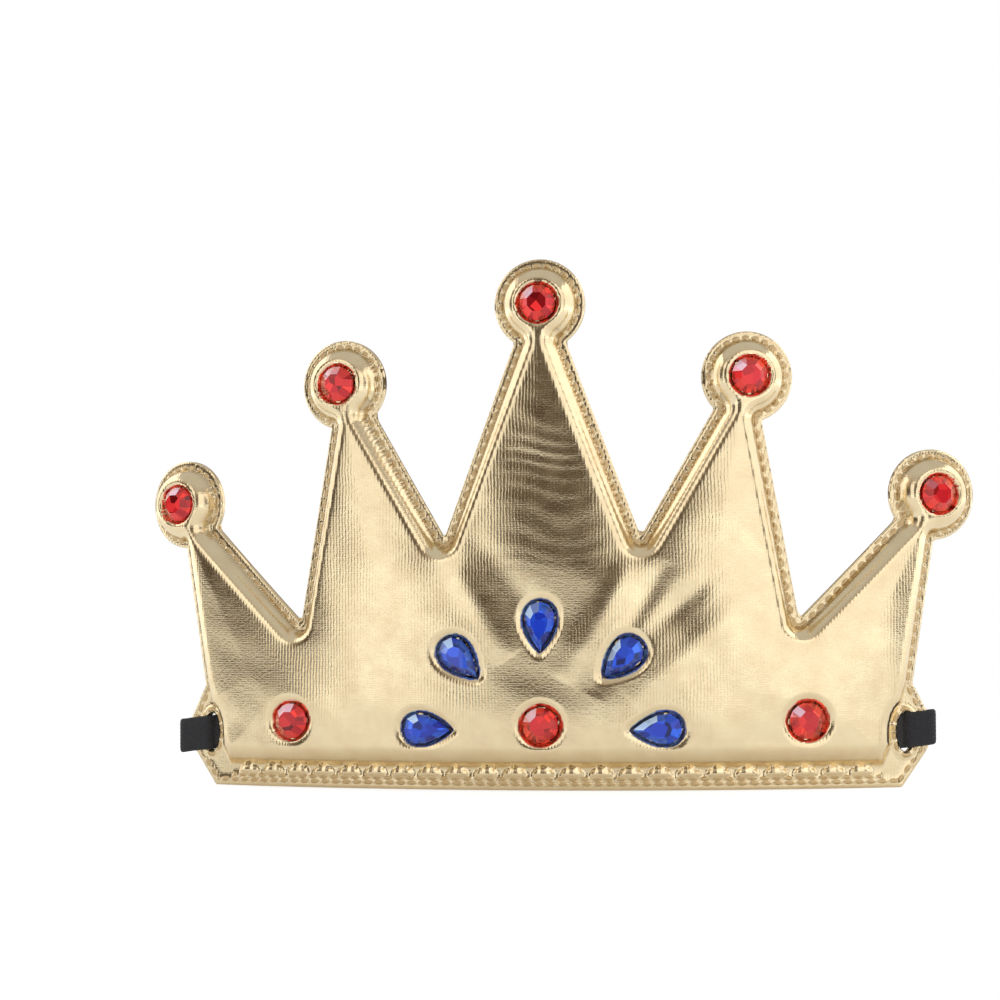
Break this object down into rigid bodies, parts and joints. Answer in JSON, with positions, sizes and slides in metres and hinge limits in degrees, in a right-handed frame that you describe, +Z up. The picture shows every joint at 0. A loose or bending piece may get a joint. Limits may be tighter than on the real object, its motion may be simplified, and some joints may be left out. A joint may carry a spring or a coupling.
{
  "type": "padded costume crown",
  "caption": "Padded gold foil-fabric costume crown with five ball-tipped spikes, glued stones and an elastic strap looped through its two ears.",
  "frame": {"origin": "on the surface that the crown stands on, under the middle of its bounding box", "axes": "+X across the crown to the viewer's right, +Y from its front to the back of the strap, +Z up"},
  "size_m": [0.2362, 0.1045, 0.145],
  "materials": {
    "gold_foil_fabric": "metallic foil on fine knit",
    "gold_foil_backing": "metallic foil on fine knit",
    "foam": "soft open-cell foam",
    "black_elastic": "woven elastic",
    "black_thread": "sewing thread",
    "red_acrylic": "faceted, clear gloss",
    "blue_acrylic": "faceted, clear gloss"
  },
  "bodies": {
    "root": {"front_cover": "gold_foil_fabric", "back_cover": "gold_foil_backing", "foam_pad": "foam", "elastic_strap": "black_elastic", "strap_tack_left": "black_thread", "strap_tack_right": "black_thread", "red_stone_1": "red_acrylic", "red_stone_2": "red_acrylic", "red_stone_3": "red_acrylic", "red_stone_4": "red_acrylic", "red_stone_5": "red_acrylic", "red_stone_6": "red_acrylic", "red_stone_7": "red_acrylic", "red_stone_8": "red_acrylic", "blue_stone_1": "blue_acrylic", "blue_stone_2": "blue_acrylic", "blue_stone_3": "blue_acrylic", "blue_stone_4": "blue_acrylic", "blue_stone_5": "blue_acrylic"}
  },
  "joints": []
}
